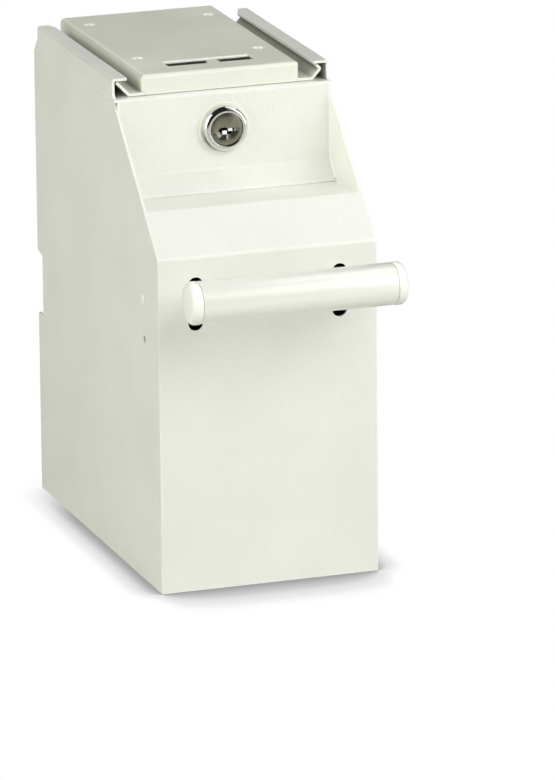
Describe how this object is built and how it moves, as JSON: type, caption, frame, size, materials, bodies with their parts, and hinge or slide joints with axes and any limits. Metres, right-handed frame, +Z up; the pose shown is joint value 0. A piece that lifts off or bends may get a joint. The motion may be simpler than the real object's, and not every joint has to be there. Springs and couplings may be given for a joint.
{
  "type": "under-counter drop safe",
  "caption": "Slim sheet steel drop box that slides off a counter bracket, with a note slot, a swinging bar handle, keyed cam locks and a rear door.",
  "frame": {"origin": "centre of the housing's rectangular footprint, on the underside of the bottom panel", "axes": "+Z up, -Y towards the user, who faces the front with the handle and the note slot, +X to the user's right"},
  "size_m": [0.1036, 0.2281, 0.2218],
  "materials": {
    "housing_paint": "warm off-white powder coat, fine texture, satin",
    "bracket_paint": "off-white powder coat, satin, a shade duller than the housing",
    "handle_paint": "smooth off-white powder coat, satin",
    "cap_plastic": "white moulded plastic, glossy",
    "lock_chrome": "bright chrome plate",
    "plug_metal": "satin nickel plate",
    "zinc_steel": "zinc plated steel, dull",
    "washer_nylon": "natural nylon"
  },
  "bodies": {
    "housing": {"side_panel_left": "housing_paint", "side_panel_right": "housing_paint", "front_panel": "housing_paint", "top_deck": "housing_paint", "bottom_panel": "housing_paint", "slot_shield": "housing_paint", "door_jamb": "housing_paint", "hinge_leaf": "housing_paint", "hinge_pin": "zinc_steel", "lock_collar": "housing_paint", "lock_housing": "lock_chrome", "lock_nut": "zinc_steel", "pivot_shaft": "handle_paint", "centre_spacer": "zinc_steel", "outer_spacer_left": "zinc_steel", "outer_spacer_right": "zinc_steel", "friction_washer_left": "washer_nylon", "friction_washer_right": "washer_nylon", "flap_pin": "zinc_steel"},
    "bracket": {"mounting_bracket": "bracket_paint"},
    "handle": {"handle_arm_left": "handle_paint", "handle_arm_right": "handle_paint", "grip_tube": "handle_paint", "end_cap_left": "cap_plastic", "end_cap_right": "cap_plastic"},
    "front_lock": {"lock_plug": "plug_metal", "lock_cam": "zinc_steel", "lock_cam_screw": "zinc_steel"},
    "door": {"rear_door": "housing_paint", "door_lock_housing": "lock_chrome", "door_lock_nut": "zinc_steel"},
    "door_lock": {"door_lock_plug": "plug_metal", "door_lock_cam": "zinc_steel", "door_cam_screw": "zinc_steel"},
    "flap": {"note_flap": "zinc_steel"}
  },
  "joints": [
    {"name": "bracket_slide", "type": "slide", "parent": "housing", "child": "bracket", "axis": [0, 1, 0], "range_m": [0, 0.125]},
    {"name": "handle_swing", "type": "hinge", "parent": "housing", "child": "handle", "pos_m": [0, -0.0659, 0.1306], "axis": [1, 0, 0], "range_deg": [-11, 29]},
    {"name": "front_lock_turn", "type": "hinge", "parent": "housing", "child": "front_lock", "pos_m": [0, -0.0312, 0.1956], "axis": [0, 1, 0], "range_deg": [0, 90]},
    {"name": "door_swing", "type": "hinge", "parent": "housing", "child": "door", "pos_m": [0.046, 0.0823, 0.105], "axis": [0, 0, -1], "range_deg": [0, 90]},
    {"name": "door_lock_turn", "type": "hinge", "parent": "door", "child": "door_lock", "pos_m": [-0.032, 0.0852, 0.15], "axis": [0, 1, 0], "range_deg": [0, 90]},
    {"name": "flap_swing", "type": "hinge", "parent": "housing", "child": "flap", "pos_m": [0, -0.02755, 0.181], "axis": [1, 0, 0], "range_deg": [0, 60]}
  ]
}
